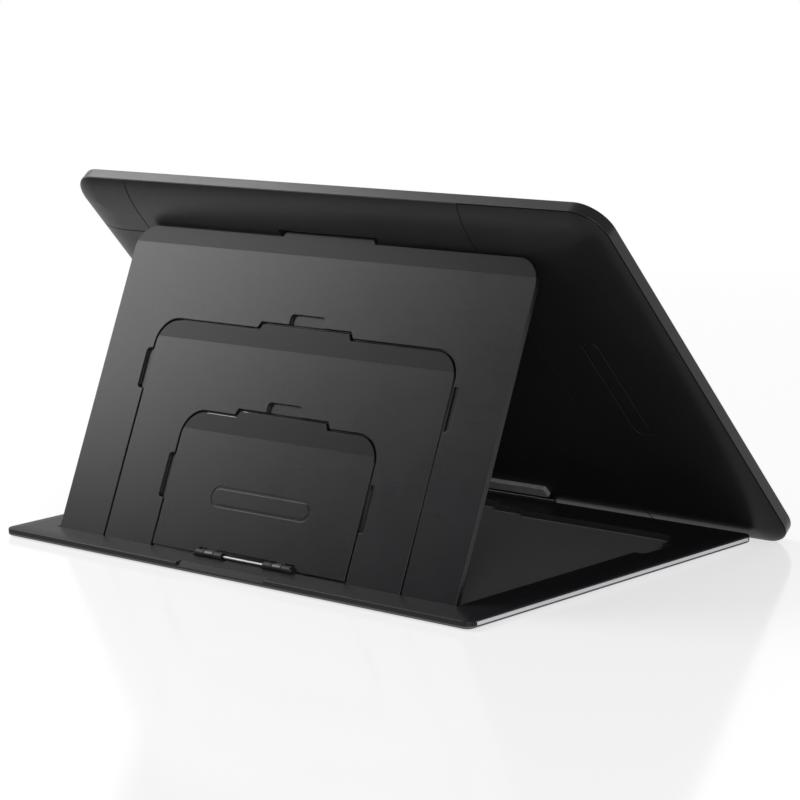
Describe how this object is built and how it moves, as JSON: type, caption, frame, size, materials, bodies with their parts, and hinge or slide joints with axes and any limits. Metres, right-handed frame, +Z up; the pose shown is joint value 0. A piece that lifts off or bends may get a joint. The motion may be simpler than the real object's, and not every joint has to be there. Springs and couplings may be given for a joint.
{
  "type": "pen drawing tablet",
  "caption": "Pen display leaning on a folding stand: a thin screen with edge keys, whose back rests on nested legs that stand up out of a flat tray.",
  "frame": {"origin": "at table level, in the middle of the footprint, with the display up on its stand", "axes": "+Z up, +X to the user's right along the display's width, -Y towards the user"},
  "size_m": [0.375, 0.2374, 0.192],
  "materials": {
    "tray_plastic": "fine matte texture, near black",
    "leg_plastic": "fine matte texture, charcoal",
    "tip_rubber": "satin soft-touch band",
    "rubber": "matte",
    "aluminium_trim": "satin silver",
    "steel": "turned",
    "casing_plastic": "satin black, very fine texture",
    "screen_glass": "etched against glare",
    "frame_alloy": "cast and machined",
    "lcd": "dark panel",
    "diffuser_plastic": "white diffuser",
    "circuit_board": "solder resist",
    "shield_steel": "thin sheet",
    "socket_steel": "plated shell",
    "key_plastic": "satin black",
    "carrier_plastic": "moulded",
    "light_guide": "clear light guide"
  },
  "bodies": {
    "stand_base": {"base_tray": "tray_plastic", "side_trim_left": "aluminium_trim", "side_trim_right": "aluminium_trim", "leg_pin_left": "steel", "leg_pin_right": "steel", "inner_leg_rod": "steel", "tray_foot_1": "rubber", "tray_foot_2": "rubber", "tray_foot_3": "rubber", "tray_foot_4": "rubber", "tray_foot_5": "rubber", "tray_foot_6": "rubber"},
    "display": {"front_bezel": "casing_plastic", "cover_glass": "screen_glass", "mid_frame": "frame_alloy", "lcd_panel": "lcd", "backlight_unit": "diffuser_plastic", "pen_sensor_board": "circuit_board", "shield_plate": "shield_steel", "main_board": "circuit_board", "cable_socket": "socket_steel", "key_board": "circuit_board", "status_light": "light_guide", "back_panel": "casing_plastic", "key_end_cap": "casing_plastic", "corner_cap": "casing_plastic", "back_foot_lower": "rubber", "back_foot_upper_left": "rubber", "back_foot_upper_right": "rubber", "shell_screw_1": "steel", "shell_screw_2": "steel", "frame_screw_1": "steel", "frame_screw_2": "steel", "frame_screw_3": "steel", "frame_screw_4": "steel"},
    "outer_leg_body": {"outer_leg": "leg_plastic", "outer_leg_tip": "tip_rubber"},
    "middle_leg_body": {"middle_leg": "leg_plastic", "middle_leg_tip": "tip_rubber"},
    "inner_leg_body": {"inner_leg": "leg_plastic", "inner_leg_tip": "tip_rubber"},
    "express_key_1_body": {"express_key_1": "key_plastic"},
    "express_key_2_body": {"express_key_2": "key_plastic"},
    "express_key_3_body": {"express_key_3": "key_plastic"},
    "express_key_4_body": {"express_key_4": "key_plastic"},
    "home_key_body": {"home_key": "key_plastic"},
    "power_button_body": {"power_button": "key_plastic"},
    "rocker_carrier_body": {"rocker_carrier": "carrier_plastic"},
    "rocker_ring_body": {"rocker_ring": "key_plastic"},
    "rocker_button_body": {"rocker_button": "key_plastic"}
  },
  "joints": [
    {"name": "display_tilt", "type": "hinge", "parent": "stand_base", "child": "display", "pos_m": [0, -0.11512, 0], "axis": [1, 0, 0], "range_deg": [0, 30]},
    {"name": "outer_leg_fold", "type": "hinge", "parent": "stand_base", "child": "outer_leg_body", "pos_m": [0, 0.09936, 0.0037], "axis": [1, 0, 0], "range_deg": [0, 66.5]},
    {"name": "middle_leg_fold", "type": "hinge", "parent": "stand_base", "child": "middle_leg_body", "pos_m": [0, 0.09936, 0.0037], "axis": [1, 0, 0], "range_deg": [0, 66.5]},
    {"name": "inner_leg_fold", "type": "hinge", "parent": "stand_base", "child": "inner_leg_body", "pos_m": [0, 0.10087, 0.006], "axis": [1, 0, 0], "range_deg": [0, 66.5]},
    {"name": "express_key_1_press", "type": "slide", "parent": "display", "child": "express_key_1_body", "axis": [0, 0.7652, -0.6438], "range_m": [0, 0.0004], "stiffness_N_per_m": 600, "springref_m": -0.0006},
    {"name": "express_key_2_press", "type": "slide", "parent": "display", "child": "express_key_2_body", "axis": [0, 0.7652, -0.6438], "range_m": [0, 0.0004], "stiffness_N_per_m": 600, "springref_m": -0.0006},
    {"name": "express_key_3_press", "type": "slide", "parent": "display", "child": "express_key_3_body", "axis": [0, 0.7652, -0.6438], "range_m": [0, 0.0004], "stiffness_N_per_m": 600, "springref_m": -0.0006},
    {"name": "express_key_4_press", "type": "slide", "parent": "display", "child": "express_key_4_body", "axis": [0, 0.7652, -0.6438], "range_m": [0, 0.0004], "stiffness_N_per_m": 600, "springref_m": -0.0006},
    {"name": "home_key_press", "type": "slide", "parent": "display", "child": "home_key_body", "axis": [0, 0.7652, -0.6438], "range_m": [0, 0.0004], "stiffness_N_per_m": 600, "springref_m": -0.0006},
    {"name": "rocker_button_press", "type": "slide", "parent": "display", "child": "rocker_button_body", "axis": [0, 0.7652, -0.6438], "range_m": [0, 0.0004], "stiffness_N_per_m": 600, "springref_m": -0.0006},
    {"name": "power_button_press", "type": "slide", "parent": "display", "child": "power_button_body", "axis": [-1, 0, 0], "range_m": [0, 0.0004], "stiffness_N_per_m": 600, "springref_m": -0.0006},
    {"name": "rocker_up_down", "type": "hinge", "parent": "display", "child": "rocker_carrier_body", "pos_m": [-0.16625, -0.03899, 0.09734], "axis": [1, 0, 0], "range_deg": [-1.5, 1.5], "stiffness_Nm_per_rad": 0.03},
    {"name": "rocker_left_right", "type": "hinge", "parent": "rocker_carrier_body", "child": "rocker_ring_body", "pos_m": [-0.16625, -0.03899, 0.09734], "axis": [0, 0.6438, 0.7652], "range_deg": [-1.5, 1.5], "stiffness_Nm_per_rad": 0.03}
  ],
  "couplings": [
    {"joint": "outer_leg_fold", "follows": "display_tilt", "ratio": 2.2166}
  ]
}
